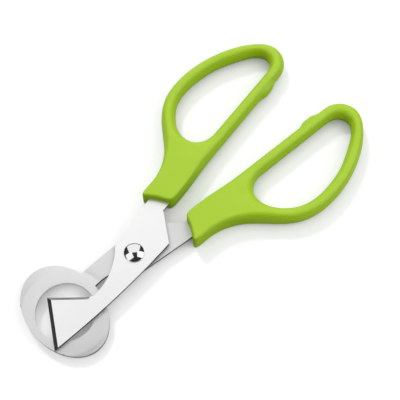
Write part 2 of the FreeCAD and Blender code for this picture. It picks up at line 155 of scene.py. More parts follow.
class Workpiece:
    """A mesh on the bench, worked on in edit mode by loops of vertex numbers.

    The bench's unit is the millimetre, so that the mesh tools' own limits suit
    the work, and the mesh is brought down to metres when it is taken off.
    """

    def __init__(self, name: str, mesh: bpy.types.Mesh | None = None) -> None:
        """Put a new, empty mesh or a copy of one on the bench.

        Args:
            name: The piece's name.
            mesh: A mesh to start from, which is left as it is.
        """
        clear_selection()
        data = mesh.copy() if mesh else bpy.data.meshes.new(name)
        data.name = name
        data.materials.clear()
        self.shape = bpy.data.objects.new(name, data)
        bpy.context.scene.collection.objects.link(self.shape)
        bpy.context.view_layer.objects.active = self.shape
        self.shape.select_set(True)
        bpy.ops.object.mode_set(mode="EDIT")
        bpy.ops.mesh.select_mode(type="VERT")
        if mesh:
            self.resize(1 / MM)
            bpy.ops.mesh.remove_doubles(threshold=WELD)

    def resize(self, scale: float) -> None:
        """Scale the whole mesh about the origin."""
        bpy.ops.mesh.select_all(action="SELECT")
        bpy.ops.transform.resize(value=(scale,) * 3, center_override=(0, 0, 0))

    def parts(self) -> bmesh.types.BMesh:
        """Bring the edit mesh's tables up to date.

        Returns:
            The edit mesh, with its vertices, edges and faces by number.
        """
        parts = bmesh.from_edit_mesh(self.shape.data)
        parts.verts.index_update()
        for table in (parts.verts, parts.edges, parts.faces):
            table.ensure_lookup_table()
        return parts

    def select(self, numbers: list[int]) -> None:
        """Select vertices and what lies between them, and nothing else.

        Args:
            numbers: The vertices' numbers.
        """
        bpy.ops.mesh.select_all(action="DESELECT")
        parts = self.parts()
        for number in numbers:
            parts.verts[number].select_set(True)
        parts.select_flush(True)
        bmesh.update_edit_mesh(self.shape.data)

    def move(self, numbers: list[int], places: list[Vector]) -> None:
        """Move vertices to new places.

        Args:
            numbers: The vertices' numbers.
            places: Where each of them goes.
        """
        parts = self.parts()
        for number, place in zip(numbers, places):
            parts.verts[number].co = place
        bmesh.update_edit_mesh(self.shape.data)

    def add_loop(self, places: list[Vector]) -> list[int]:
        """Add a circle with one vertex for each place and shape it to them.

        Args:
            places: The loop's places, in order.

        Returns:
            The loop's vertex numbers, in the same order.
        """
        bpy.ops.mesh.select_all(action="DESELECT")
        bpy.ops.mesh.primitive_circle_add(vertices=len(places), fill_type="NOTHING")
        loop = [vertex.index for vertex in self.parts().verts if vertex.select]
        self.move(loop, places)
        return loop

    def extrude_loop(self, loop: list[int], places: list[Vector]) -> list[int]:
        """Extrude a loop of edges and move the new loop's vertices to places.

        Args:
            loop: The loop's vertex numbers, in order.
            places: Where each vertex's copy goes.

        Returns:
            The new loop's vertex numbers, in the same order.
        """
        self.select(loop)
        bpy.ops.mesh.extrude_region_move()
        parts = self.parts()
        new = []
        for number in loop:
            vertex = parts.verts[number]
            ends = [edge.other_vert(vertex) for edge in vertex.link_edges]
            new.append(next(end.index for end in ends if end.select))
        self.move(new, places)
        return new

    def fill(self, loops: list[list[int]]) -> None:
        """Fill the flat region between closed loops with faces."""
        self.select([number for loop in loops for number in loop])
        bpy.ops.mesh.fill(use_beauty=True)

    def cut(self, chosen: Callable[[Vector], bool], point: Vector, normal: Vector) -> None:
        """Cut some of the faces along a plane.

        Args:
            chosen: Says by a face's centre whether it is cut.
            point: A point of the plane.
            normal: The plane's normal.
        """
        bpy.ops.mesh.select_mode(type="FACE")
        bpy.ops.mesh.select_all(action="DESELECT")
        for face in self.parts().faces:
            if chosen(face.calc_center_median()):
                face.select_set(True)
        bmesh.update_edit_mesh(self.shape.data)
        bpy.ops.mesh.bisect(plane_co=point, plane_no=normal)
        bpy.ops.mesh.select_mode(type="VERT")

    def take_off(self, smooth_angle: float, large_faces_rule: bool = False) -> bpy.types.Object:
        """Close the mesh's seams, turn its faces outwards and shade it.

        Args:
            smooth_angle: Edges sharper than this, in degrees, stay sharp.
            large_faces_rule: Whether large faces keep their own normals.

        Returns:
            The finished object, at the origin with its place in its mesh.
        """
        bpy.ops.mesh.select_all(action="SELECT")
        bpy.ops.mesh.remove_doubles(threshold=WELD)
        bpy.ops.mesh.normals_make_consistent(inside=False)
        self.resize(MM)
        bpy.ops.object.mode_set(mode="OBJECT")
        bpy.ops.object.shade_smooth_by_angle(angle=math.radians(smooth_angle))
        if large_faces_rule:
            bpy.ops.object.modifier_add(type="WEIGHTED_NORMAL")
            self.shape.modifiers[-1].keep_sharp = True
            bpy.ops.object.modifier_apply(modifier=self.shape.modifiers[-1].name)
        clear_selection()
        return self.shape


def section_loops(node: str, height: float) -> list[list[Vector]]:
    """Return the closed outlines of a level cut through a carried node.

    Args:
        node: The node's name.
        height: The cut's height, in millimetres.

    Returns:
        Each outline's places in order, the longest outline first.
    """
    section = Workpiece("section", frame["nodes"][node].data)
    bpy.ops.mesh.select_all(action="SELECT")
    bpy.ops.mesh.bisect(
        plane_co=(0, 0, height), plane_no=(0, 0, 1), clear_inner=True, clear_outer=True
    )
    left = {vertex.index: vertex for vertex in section.parts().verts}
    loops = []
    while left:
        _, vertex = left.popitem()
        loop = [vertex.co.copy()]
        while True:
            ends = [edge.other_vert(vertex).index for edge in vertex.link_edges]
            following = [end for end in ends if end in left]
            if not following:
                break
            vertex = left.pop(following[0])
            loop.append(vertex.co.copy())
        loops.append(loop)
    clear_selection()
    bpy.data.meshes.remove(section.shape.data)
    return sorted(loops, key=outline_length, reverse=True)


def outline_length(points: list[Vector]) -> float:
    """Return the length round a closed outline."""
    return sum((a - b).length for a, b in zip(points, points[1:] + points[:1]))


class Outline:
    """A closed plan outline with evenly spaced points and the material on its left."""

    def __init__(self, points: list[Vector], spacing: float, is_hole: bool) -> None:
        """Put an outline's points in order round the material and space them evenly.

        Args:
            points: Drawn points in order round the outline.
            spacing: Distance between points, in millimetres.
            is_hole: Whether the material lies outside the outline.
        """
        corners = np.array([(p.x, p.y) for p in points])
        ahead = np.roll(corners, -1, axis=0)
        area = np.sum(corners[:, 0] * ahead[:, 1] - ahead[:, 0] * corners[:, 1]) / 2
        self.points = corners[::-1] if (area < 0) != is_hole else corners
        self.spacing = spacing
        self.space_evenly()

    def space_evenly(self) -> None:
        """Put the points at even distances round the outline."""
        closed = np.vstack([self.points, self.points[:1]])
        steps = np.hypot(*np.diff(closed, axis=0).T)
        run = np.concatenate([[0], np.cumsum(steps)])
        stations = np.linspace(0, run[-1], int(run[-1] / self.spacing), endpoint=False)
        self.points = np.column_stack([np.interp(stations, run, closed[:, i]) for i in (0, 1)])

    def soften(self, chosen: np.ndarray, rounds: int) -> None:
        """Round off corners by averaging points with their neighbours.

        Args:
            chosen: A mask of the points to move.
            rounds: How many times each moves halfway.
        """
        for _ in range(rounds):
            around = (np.roll(self.points, 1, axis=0) + np.roll(self.points, -1, axis=0)) / 2
            self.points[chosen] = (self.points[chosen] + around[chosen]) / 2
        self.space_evenly()

    def inward(self, rounds: int = 28) -> np.ndarray:
        """Return the normals into the material, which turn softly at corners.

        Args:
            rounds: How many times each normal is averaged with its neighbours.

        Returns:
            One unit normal for each point.
        """
        along = np.roll(self.points, -1, axis=0) - np.roll(self.points, 1, axis=0)
        normals = np.column_stack([-along[:, 1], along[:, 0]])
        for _ in range(rounds):
            around = np.roll(normals, 1, axis=0) + np.roll(normals, -1, axis=0)
            normals = (2 * normals + around) / 4
        return normals / np.hypot(*normals.T)[:, None]

    def distance_to(self, other: "Outline") -> np.ndarray:
        """Return each point's distance to another outline's nearest point."""
        apart = self.points[:, None, :] - other.points[None, :, :]
        return np.sqrt((apart ** 2).sum(axis=2)).min(axis=1)


# ---- Finishes --------------------------------------------------------------
class Number:
    """A number's socket in a material, with arithmetic that adds Math nodes."""

    def __init__(self, tree: bpy.types.NodeTree, socket: bpy.types.NodeSocket) -> None:
        """Wrap an output socket of a node tree."""
        self.tree = tree
        self.socket = socket

    def _math(self, operation: str, first: "Number | float", second: "Number | float" = 0.0
              ) -> "Number":
        """Add a Math node.

        Args:
            operation: The node's operation.
            first: Its first value.
            second: Its second value, which some operations don't read.

        Returns:
            The result.
        """
        node = self.tree.nodes.new("ShaderNodeMath")
        node.operation = operation
        for socket, value in zip(node.inputs, (first, second)):
            if isinstance(value, Number):
                self.tree.links.new(value.socket, socket)
            else:
                socket.default_value = value
        return Number(self.tree, node.outputs[0])

    def __add__(self, other: "Number | float") -> "Number":
        """Return the sum."""
        return self._math("ADD", self, other)

    def __sub__(self, other: "Number | float") -> "Number":
        """Return the difference."""
        return self._math("SUBTRACT", self, other)

    def __rsub__(self, other: "Number | float") -> "Number":
        """Return the difference, taken from a plain number."""
        return self._math("SUBTRACT", other, self)

    def __mul__(self, other: "Number | float") -> "Number":
        """Return the product."""
        return self._math("MULTIPLY", self, other)

    def __abs__(self) -> "Number":
        """Return the size without the sign."""
        return self._math("ABSOLUTE", self)

    __radd__ = __add__
    __rmul__ = __mul__


class Shading:
    """A node tree being written, with one method that adds any node."""

    def __init__(self, tree: bpy.types.NodeTree) -> None:
        """Start on an emptied node tree."""
        self.tree = tree
        tree.nodes.clear()

    def node(self, kind: str, settings: dict[str, Any], sockets: dict[str | int, Any]
             ) -> bpy.types.Node:
        """Add a node, set its settings and then its sockets.

        Args:
            kind: The node's type, without its ShaderNode prefix.
            settings: Its properties, by name.
            sockets: Values, sockets or Numbers by socket name or number.

        Returns:
            The new node.
        """
        node = self.tree.nodes.new("ShaderNode" + kind)
        for name, value in settings.items():
            setattr(node, name, value)
        for key, value in sockets.items():
            if isinstance(value, Number):
                value = value.socket
            if isinstance(value, bpy.types.NodeSocket):
                self.tree.links.new(value, node.inputs[key])
            else:
                node.inputs[key].default_value = value
        return node

    def number(self, node: bpy.types.Node, output: str | int = 0) -> Number:
        """Return a node's output as a Number."""
        return Number(self.tree, node.outputs[output])

    def facing(self, axis: str) -> Number:
        """Return how far the surface faces along an axis, from -1 to 1."""
        normal = self.node("NewGeometry", {}, {}).outputs["Normal"]
        return self.number(self.node("SeparateXYZ", {}, {0: normal}), axis)

    def noise(self, size: float, detail: float, length: float = 1.0, turn: float = 0.0) -> Number:
        """Return noise on object coordinates.

        Args:
            size: The noise's grain, in millimetres.
            detail: Octaves of finer noise.
            length: How many times longer the grain is along the turned X axis.
            turn: Turn of that axis about the vertical, in degrees.

        Returns:
            The noise's value, which is NOISE_MEAN on average.
        """
        place = self.node("TexCoord", {}, {})
        grain = size * MM
        turned = self.node("Mapping", {"vector_type": "TEXTURE"}, {
            "Vector": place.outputs["Object"],
            "Location": tuple(PIVOT),
            "Rotation": (0, 0, math.radians(turn)),
            "Scale": (grain * length, grain, grain),
        })
        noise = self.node("TexNoise", {}, {
            "Vector": turned.outputs[0], "Scale": 1.0, "Detail": detail, "Roughness": 0.5,
        })
        return self.number(noise)

    def distance(self, centre: tuple[float, float]) -> Number:
        """Return the surface's level distance from a place.

        Args:
            centre: The place's X and Y, in millimetres.

        Returns:
            The distance, in metres.
        """
        place = self.node("TexCoord", {}, {})
        level = self.node("VectorMath", {"operation": "MULTIPLY"}, {
            0: place.outputs["Object"], 1: (1, 1, 0),
        })
        away = self.node("VectorMath", {"operation": "DISTANCE"}, {
            0: level.outputs[0], 1: (centre[0] * MM, centre[1] * MM, 0),
        })
        return self.number(away, "Value")

    def step(self, value: Number, middle: float, spread: float) -> Number:
        """Return a ramp from 0 to 1 as a value passes a middle.

        Args:
            value: The value.
            middle: Where the ramp is at one half.
            spread: How far it reaches each way.

        Returns:
            The ramp, held at 0 below and at 1 above.
        """
        node = self.node("MapRange", {"clamp": True}, {
            "Value": value, "From Min": middle - spread, "From Max": middle + spread,
        })
        return self.number(node)

    def grey(self, value: Number) -> bpy.types.NodeSocket:
        """Return a grey of a value."""
        return self.node("CombineColor", {}, {0: value, 1: value, 2: value}).outputs[0]

    def bump(self, height: Number, strength: float, depth: float) -> bpy.types.NodeSocket:
        """Return the normals of a relief.

        Args:
            height: The relief's height, from 0 to 1.
            strength: Share of the relief that shows.
            depth: Its whole depth, in millimetres.

        Returns:
            The normals' socket.
        """
        sockets = {"Strength": strength, "Distance": depth * MM, "Height": height}
        return self.node("Bump", {}, sockets).outputs[0]

    def blend(self, low: Colour, high: Colour, share: Number) -> bpy.types.NodeSocket:
        """Return a colour a share of the way between two colours."""
        node = self.node("Mix", {"data_type": "RGBA"}, {0: share, 6: (*low, 1), 7: (*high, 1)})
        return node.outputs[2]


def new_finish(name: str) -> tuple[bpy.types.Material, Shading]:
    """Add a material.

    Args:
        name: The material's name.

    Returns:
        The material and the writer of its emptied node tree.
    """
    material = bpy.data.materials.new(name)
    material.use_nodes = True
    return material, Shading(material.node_tree)


@dataclass(frozen=True)
class LimePlastic:
    """Smooth moulded plastic with a satin gloss on what faces up.

    Attributes:
        name: The material's name.
        deep: The darker colour.
        pale: The lighter colour.
        cloud_size: Size of the clouds of the two colours, in millimetres.
        grain_size: Size of the mould's grain, in millimetres.
        grain_depth: Depth of the grain, in millimetres.
        grain_strength: Share of the grain that shows.
        detail: Octaves of finer clouds and grain.
        gloss_rise: How far up a face with half the gloss faces, where 1 is straight up.
        gloss_roughness: Roughness of the gloss.
        roughness: Roughness of the plastic under it.
        shine: Specular level of the plastic under it.
    """

    name: str = "lime_plastic"
    deep: Colour = (0.308, 0.493, 0.005)
    pale: Colour = (0.333, 0.523, 0.008)
    cloud_size: float = 30.0
    grain_size: float = 0.5
    grain_depth: float = 0.05
    grain_strength: float = 0.03
    detail: float = 2.0
    gloss_rise: float = 0.5
    gloss_roughness: float = 0.34
    roughness: float = 0.6
    shine: float = 0.05

    def make(self) -> bpy.types.Material:
        """Make the plastic.

        Returns:
            The material.
        """
        material, shading = new_finish(self.name)
        cloud = shading.noise(self.cloud_size, self.detail)
        grain = shading.noise(self.grain_size, self.detail)
        surface = shading.node("BsdfPrincipled", {}, {
            "Base Color": shading.blend(self.deep, self.pale, cloud),
            "Roughness": self.roughness,
            "Specular IOR Level": self.shine,
            "Coat Weight": shading.step(shading.facing("Z"), self.gloss_rise, self.gloss_rise),
            "Coat Roughness": self.gloss_roughness,
            "Normal": shading.bump(grain, self.grain_strength, self.grain_depth),
        })
        shading.node("OutputMaterial", {}, {"Surface": surface.outputs[0]})
        return material


@dataclass(frozen=True)
class BladeSteel:
    """Stainless sheet, brushed along the blade, with ground slopes and cut edges.

    A face is level, sloped or upright by how far it faces up or down, where 1
    is straight up or down. Upright faces are rougher, and painted shade
    darkens their colour, with less of it on the rim's wall.

    Attributes:
        name: The material's name.
        turn: Compass angle of the brushing, in degrees.
        dark: Tone of the darker streaks.
        light: Tone of the lighter streaks.
        roughness: Roughness of the level faces.
        ground_roughness: Roughness of the ground slopes.
        cut_roughness: What the upright edges add to that.
        cut_painted_shade_tone: Painted shade on the upright edges: how light they are, as a share
            of the rest.
        rim_painted_shade_tone: Lighter painted shade on the upright wall round the rim's centre,
            as the same share.
        level: How far a level face faces up or down at least.
        level_spread: How softly level turns into sloped.
        upright: How far an upright face faces up or down at most.
        upright_spread: How softly upright turns into sloped.
        rim_centre: X and Y of the rim's centre, in millimetres.
        rim_radius: Reach of the rim, in millimetres, or 0 where there is none.
        rim_spread: How softly the rim ends, in millimetres.
        brush_size: Width of a brush stroke, in millimetres.
        brush_length: How many times longer than wide a stroke is.
        brush_depth: Depth of the strokes, in millimetres.
        brush_strength: Share of that depth that shows.
        cloud_size: Size of the clouds in the steel's tone, in millimetres.
        cloud_share: The clouds' share in the tone, of which strokes have the rest.
        detail: Octaves of finer strokes and clouds.
        tone_roughness: How much rougher the lightest tone is than the darkest.
    """

    name: str
    turn: float
    dark: float = 0.87
    light: float = 0.93
    roughness: float = 0.42
    ground_roughness: float = 0.08
    cut_roughness: float = 0.3
    cut_painted_shade_tone: float = 0.09
    rim_painted_shade_tone: float = 0.65
    level: float = 0.85
    level_spread: float = 0.03
    upright: float = 0.3
    upright_spread: float = 0.05
    rim_centre: tuple[float, float] = (0.0, 0.0)
    rim_radius: float = 0.0
    rim_spread: float = 0.05
    brush_size: float = 0.12
    brush_length: float = 90.0
    brush_depth: float = 0.01
    brush_strength: float = 0.1
    cloud_size: float = 14.0
    cloud_share: float = 0.6
    detail: float = 3.0
    tone_roughness: float = 0.12

    def make(self) -> bpy.types.Material:
        """Make the steel.

        Returns:
            The material.
        """
        material, shading = new_finish(self.name)
        rise = abs(shading.facing("Z"))
        is_level = shading.step(rise, self.level, self.level_spread)
        # Upright faces are rougher and get painted shade in their colour.
        is_cut_rough_and_painted_shade = 1 - shading.step(rise, self.upright, self.upright_spread)
        away = shading.distance(self.rim_centre)
        off_rim_full_painted_shade = shading.step(away, self.rim_radius * MM, self.rim_spread * MM)
        # The painted shade is lighter on the rim's wall than on the other cut edges.
        cut_painted_shade_tone = self.rim_painted_shade_tone - off_rim_full_painted_shade * (self.rim_painted_shade_tone - self.cut_painted_shade_tone)
        brushing = shading.noise(self.brush_size, self.detail, self.brush_length, self.turn)
        cloud = shading.noise(self.cloud_size, self.detail)
        tone = self.cloud_share * cloud + (1 - self.cloud_share) * brushing
        shade = self.dark + tone * (self.light - self.dark)
        # Painted shade darkens the grey of the upright faces.
        shade = shade * (1 - is_cut_rough_and_painted_shade * (1 - cut_painted_shade_tone))
        rough = self.ground_roughness + is_level * (self.roughness - self.ground_roughness)
        rough = rough + self.tone_roughness * (tone - NOISE_MEAN) + self.cut_roughness * is_cut_rough_and_painted_shade
        surface = shading.node("BsdfPrincipled", {}, {
            "Base Color": shading.grey(shade),
            "Metallic": 1.0,
            "Roughness": rough,
            "Normal": shading.bump(brushing, self.brush_strength, self.brush_depth),
        })
        shading.node("OutputMaterial", {}, {"Surface": surface.outputs[0]})
        return material


@dataclass(frozen=True)
class PolishedSteel:
    """Bright turned steel with faint handling marks.

    Attributes:
        name: The material's name.
        dark: Colour of the darker marks.
        light: Colour of the lighter marks.
        roughness: The middle roughness.
        mark_roughness: How much rougher the lightest mark is than the darkest.
        mark_size: Size of the marks, in millimetres.
        detail: Octaves of finer marks.
    """

    name: str = "polished_steel"
    dark: Colour = (0.66, 0.66, 0.67)
    light: Colour = (0.72, 0.72, 0.72)
    roughness: float = 0.11
    mark_roughness: float = 0.06
    mark_size: float = 0.8
    detail: float = 4.0

    def make(self) -> bpy.types.Material:
        """Make the polished steel.

        Returns:
            The material.
        """
        material, shading = new_finish(self.name)
        marks = shading.noise(self.mark_size, self.detail)
        surface = shading.node("BsdfPrincipled", {}, {
            "Base Color": shading.blend(self.dark, self.light, marks),
            "Metallic": 1.0,
            "Roughness": self.roughness + self.mark_roughness * (marks - NOISE_MEAN),
        })
        shading.node("OutputMaterial", {}, {"Surface": surface.outputs[0]})
        return material


@dataclass(frozen=True)
class WhiteFloor:
    """Plain floor that shows white to the camera and keeps its shadows.

    Attributes:
        name: The material's name.
        colour: The floor's own colour.
        roughness: Its roughness.
        ior: Its index of refraction.
        lift: Light that is added where it is seen and nothing stands near, so that its fading
            paints shade round and under things.
        nearness: How far away a thing still counts as near, in millimetres.
        open_share: Share of open sky that brings half of that light.
        open_spread: How much more sky brings all of it, and how much less none.
        samples: Rays that look for near things.
    """

    name: str = "white_floor"
    colour: Colour = (0.52, 0.53, 0.52)
    roughness: float = 0.3
    ior: float = 1.4
    lift: float = 0.44
    nearness: float = 30.0
    open_share: float = 0.28
    open_spread: float = 0.28
    samples: int = 12

    def make(self) -> bpy.types.Material:
        """Make the floor's surface.

        Returns:
            The material.
        """
        material, shading = new_finish(self.name)
        path = shading.node("LightPath", {}, {})
        seen = shading.number(path, "Is Camera Ray") + shading.number(path, "Is Glossy Ray")
        seen = seen + shading.number(path, "Is Transmission Ray")
        around = shading.node(
            "AmbientOcclusion", {"samples": self.samples}, {"Distance": self.nearness * MM}
        )
        # Painted shade: the added light fades where things stand near, darkening the floor round
        # and under them.
        clear = shading.step(shading.number(around, "AO"), self.open_share, self.open_spread)
        surface = shading.node("BsdfPrincipled", {}, {
            "Base Color": (*self.colour, 1), "Roughness": self.roughness, "IOR": self.ior,
        })
        glow = shading.node("Emission", {}, {
            "Color": shading.grey(seen * clear * self.lift), "Strength": 1.0,
        })
        both = shading.node("AddShader", {}, {0: surface.outputs[0], 1: glow.outputs[0]})
        shading.node("OutputMaterial", {}, {"Surface": both.outputs[0]})
        return material


# ---- Handles ---------------------------------------------------------------
@dataclass
class Handle:
    """One moulded handle: a flat base that forks into a round finger loop.

    Sizes are in millimetres.  A station is a distance from the pivot along the
    closed scissors, and the reach is the distance from their middle line.

    Attributes:
        side: Which side of the scissors it is.
        height: Thickness of the base.
        cut_offset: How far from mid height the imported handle's outlines are taken.
        spacing: Distance between an outline's points.
        front_end: Station where the base's front end gives way to its long edges.
        front_fade: Length of that change.
        front_rounds: How often the front end's outline is softened.
        front_edge: Rounding of the front end.
        inner_base_edge: Rounding of the base's long edge towards the other handle.
        outer_base_edge: Rounding of its other long edge.
        bar_gap: Reach of the inner bar's straight side.
        outer_side: Reach from which an edge has the outer rounding.
        base_end: Station where the base's rounding starts to change to the loop's.
        loop_start: Station where that change is done.
        loop_edge: Width of the rounding where the loop's section is round.
        loop_height: Thickness of the loop, at the base's mid height.
        ramp_start: Station where the thickness starts to go down to the loop's.
        ramp_end: Station where it is the loop's.
        fork_edge: Width of the soft slope at the front of the finger hole.
        fork_end: Station where that slope has changed to the loop's rounding.
        nub_start: Station just before the stop nub.
        nub_end: Station just past it.
        nub_shoulder: Share of the height at which the nub starts to fade.
        nub_top: Share of the height at which it is gone.
        nub_rounds: How often the nub's outline is softened.
        seam: How far the mould's parting line stands proud.
        seam_half_width: Half of that line's width.
        steps: Rows of faces on the rounding.
        crown: Width of the first row of faces on the level top.
        least_crown: Least width of the level top.
        top_end: Station up to which the level top is divided into cells.
        cell: Size of a cell.
        dimple: Station and reach of the shallow dimple's centre.
        dimple_size: Radius of the dimple.
        dimple_depth: Its depth.
        smooth_angle: Edges sharper than this, in degrees, stay sharp.
    """

    side: Side
    height: float = 8.4
    cut_offset: float = 0.6
    spacing: float = 0.35
    front_end: float = 26.0
    front_fade: float = 4.0
    front_rounds: int = 40
    front_edge: float = 1.0
    inner_base_edge: float = 0.6
    outer_base_edge: float = 1.3
    bar_gap: float = 1.35
    outer_side: float = 10.0
    base_end: float = 30.0
    loop_start: float = 46.0
    loop_edge: float = 2.6
    loop_height: float = 6.8
    ramp_start: float = 42.0
    ramp_end: float = 55.0
    fork_edge: float = 3.2
    fork_end: float = 56.0
    nub_start: float = 78.0
    nub_end: float = 90.0
    nub_shoulder: float = 0.72
    nub_top: float = 0.9
    nub_rounds: int = 6
    seam: float = 0.03
    seam_half_width: float = 0.12
    steps: int = 8
    crown: float = 0.1
    least_crown: float = 0.4
    top_end: float = 55.0
    cell: float = 0.9
    dimple: tuple[float, float] = (44.4, 8.7)
    dimple_size: float = 2.4
    dimple_depth: float = 0.3
    smooth_angle: float = 50.0

    @property
    def node(self) -> str:
        """Return the name of the carried node that this piece replaces."""
        return self.side.word + "_handle"

    @property
    def drawing(self) -> Drawing:
        """Return the drawing frame of this handle's side."""
        return Drawing(self.side)

    def edge_sizes(self, x: float, y: float, wall: float, is_hole: bool) -> tuple[float, float]:
        """Return the rounding's width and height at a point of an outline.

        Args:
            x: The point's station.
            y: Its reach.
            wall: The distance to the other outline.
            is_hole: Whether the point is on the finger hole.

        Returns:
            The width and the height of the rounding there.
        """
        loopness = 1.0 if is_hole else ease(x, self.base_end, self.loop_start)
        frontness = 1 - ease(x, self.front_end - self.front_fade, self.front_end)
        outerness = ease(y, self.bar_gap, self.outer_side)
        base_edge = mix(self.inner_base_edge, self.outer_base_edge, outerness)
        base_edge = mix(base_edge, self.front_edge, frontness)
        width = mix(base_edge, self.loop_edge, loopness)
        rise = mix(base_edge, self.height / 2 - self.seam_half_width, loopness)
        if is_hole:
            width = mix(self.fork_edge, width, ease(x, self.loop_start, self.fork_end))
        return min(width, (wall - self.least_crown) / 2 - self.crown), rise

    def profile(self, width: float, rise: float) -> Section:
        """Return the upper half of the section, above the parting line.

        Args:
            width: The rounding's width.
            rise: The rounding's height.

        Returns:
            The (inset, height) pairs, from the side up to the level top.
        """
        section = [(self.seam, self.height / 2 + self.seam_half_width)]
        for step in range(self.steps + 1):
            angle = math.radians(90 * step / self.steps)
            inset = self.seam + (width - self.seam) * (1 - math.cos(angle))
            section.append((inset, self.height - rise * (1 - math.sin(angle))))
        section.append((width + self.crown, self.height))
        return section

    def drop_at(self, x: float, y: float, z: float) -> float:
        """Return how far a point of the upper half is brought down.

        The loop is thinner than the base, and the top has a shallow dimple.

        Args:
            x: The point's station.
            y: Its reach.
            z: Its height, before it is brought down.

        Returns:
            The distance down.
        """
        half = self.height / 2
        thinning = (1 - self.loop_height / self.height) * ease(x, self.ramp_start, self.ramp_end)
        away = math.hypot(x - self.dimple[0], y - self.dimple[1]) / self.dimple_size
        sunk = self.dimple_depth * math.exp(-away * away) * ease(z, half, self.height)
        return (z - half) * thinning + sunk

    def plain_y(self, x: float, y: float) -> float:
        """Return an outline point's Y as it would be without the stop nub."""
        return max(y, self.bar_gap) if self.nub_start < x < self.nub_end else y

    def without_nub(self, outline: Outline) -> Outline:
        """Copy an outline without its stop nub.

        Args:
            outline: The outline, which is left as it is.

        Returns:
            The copy, with the inner bar straight past the nub.
        """
        plain = copy.copy(outline)
        plain.points = np.array([(x, self.plain_y(x, y)) for x, y in outline.points])
        return plain

    def loops(self, outline: Outline, wall: np.ndarray, is_hole: bool) -> list[list[Vector]]:
        """Return the loops that the upper half is made of.

        Args:
            outline: The outline that they follow.
            wall: Each point's distance to the other outline.
            is_hole: Whether the outline is the finger hole's.

        Returns:
            Each loop's places, from mid height up to the level top.
        """
        columns = []
        for (x, y), (nx, ny), room in zip(outline.points, outline.inward(), wall):
            column = [self.drawing.place(x, y, self.height / 2)]
            for inset, z in self.profile(*self.edge_sizes(x, y, room, is_hole)):
                fade = ease(z, self.nub_shoulder * self.height, self.nub_top * self.height)
                base_y = mix(y, self.plain_y(x, y), fade)
                column.append(self.drawing.place(x + nx * inset, base_y + ny * inset, z))
            columns.append(column)
        return [list(loop) for loop in zip(*columns)]

    def outlines(self) -> tuple[Outline, Outline]:
        """Take the handle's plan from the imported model.

        Returns:
            The outline round the whole handle and the finger hole's.
        """
        cut_height = self.height / 2 - self.side.value * self.cut_offset
        outer_cut, hole_cut = section_loops(self.node, cut_height)[:2]
        outer = Outline([self.drawing.draw(p) for p in outer_cut], self.spacing, is_hole=False)
        hole = Outline([self.drawing.draw(p) for p in hole_cut], self.spacing, is_hole=True)
        outer.soften(outer.points[:, 0] < self.front_end, self.front_rounds)
        stations, reaches = outer.points.T
        on_nub = (stations > self.nub_start) & (reaches < 2 * self.bar_gap)
        outer.soften(on_nub, self.nub_rounds)
        return outer, hole

    def build(self) -> bpy.types.Object:
        """Model the handle.

        Returns:
            The finished piece.
        """
        outer, hole = self.outlines()
        piece = Workpiece(self.side.word + "_grip")
        crowns = []
        for outline, other, is_hole in ((outer, hole, False), (hole, outer, True)):
            wall = self.without_nub(outline).distance_to(self.without_nub(other))
            lowest, *others = self.loops(outline, wall, is_hole)
            loop = piece.add_loop(lowest)
            for places in others:
                loop = piece.extrude_loop(loop, places)
            crowns.append(loop)
        piece.fill(crowns)
        self.divide_top(piece)
        self.shape_top(piece)
        self.mirror_down(piece)
        return piece.take_off(self.smooth_angle)

    def divide_top(self, piece: Workpiece) -> None:
        """Divide the base's level top into cells, for the dimple and the ramp.

        Args:
            piece: The upper half.
        """
        start = self.drawing.place(0, 0, 0)
        along = self.drawing.place(1, 0, 0) - start
        across = self.drawing.place(0, 1, 0) - start

        def is_base_top(centre: Vector) -> bool:
            """Return whether a face at this centre is on the base's top."""
            is_top = centre.z > self.height - LEVEL_SLACK
            return is_top and self.drawing.draw(centre).x < self.top_end

        for step in range(int(self.top_end / self.cell)):
            offset = step * self.cell
            piece.cut(is_base_top, self.drawing.place(offset, 0, 0), along)
            piece.cut(is_base_top, self.drawing.place(0, offset, 0), across)

    def shape_top(self, piece: Workpiece) -> None:
        """Bring the top down to the loop and sink the dimple.

        Args:
            piece: The upper half.
        """
        for vertex in piece.parts().verts:
            drawn = self.drawing.draw(vertex.co)
            vertex.co.z -= self.drop_at(drawn.x, drawn.y, drawn.z)
        bmesh.update_edit_mesh(piece.shape.data)

    def mirror_down(self, piece: Workpiece) -> None:
        """Copy the upper half down across mid height.

        Args:
            piece: The upper half.
        """
        bpy.ops.mesh.select_all(action="SELECT")
        bpy.ops.mesh.duplicate()
        middle = (0, 0, self.height / 2)
        bpy.ops.transform.resize(value=(1, 1, -1), center_override=middle)

    def dress(self, piece: bpy.types.Object, plastic: bpy.types.Material) -> None:
        """Give the handle its plastic and its place on its body.

        Args:
            piece: The handle.
            plastic: Its material.
        """
        piece.data.materials.append(plastic)
        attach(piece, self.side.body)
        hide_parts(self.node)


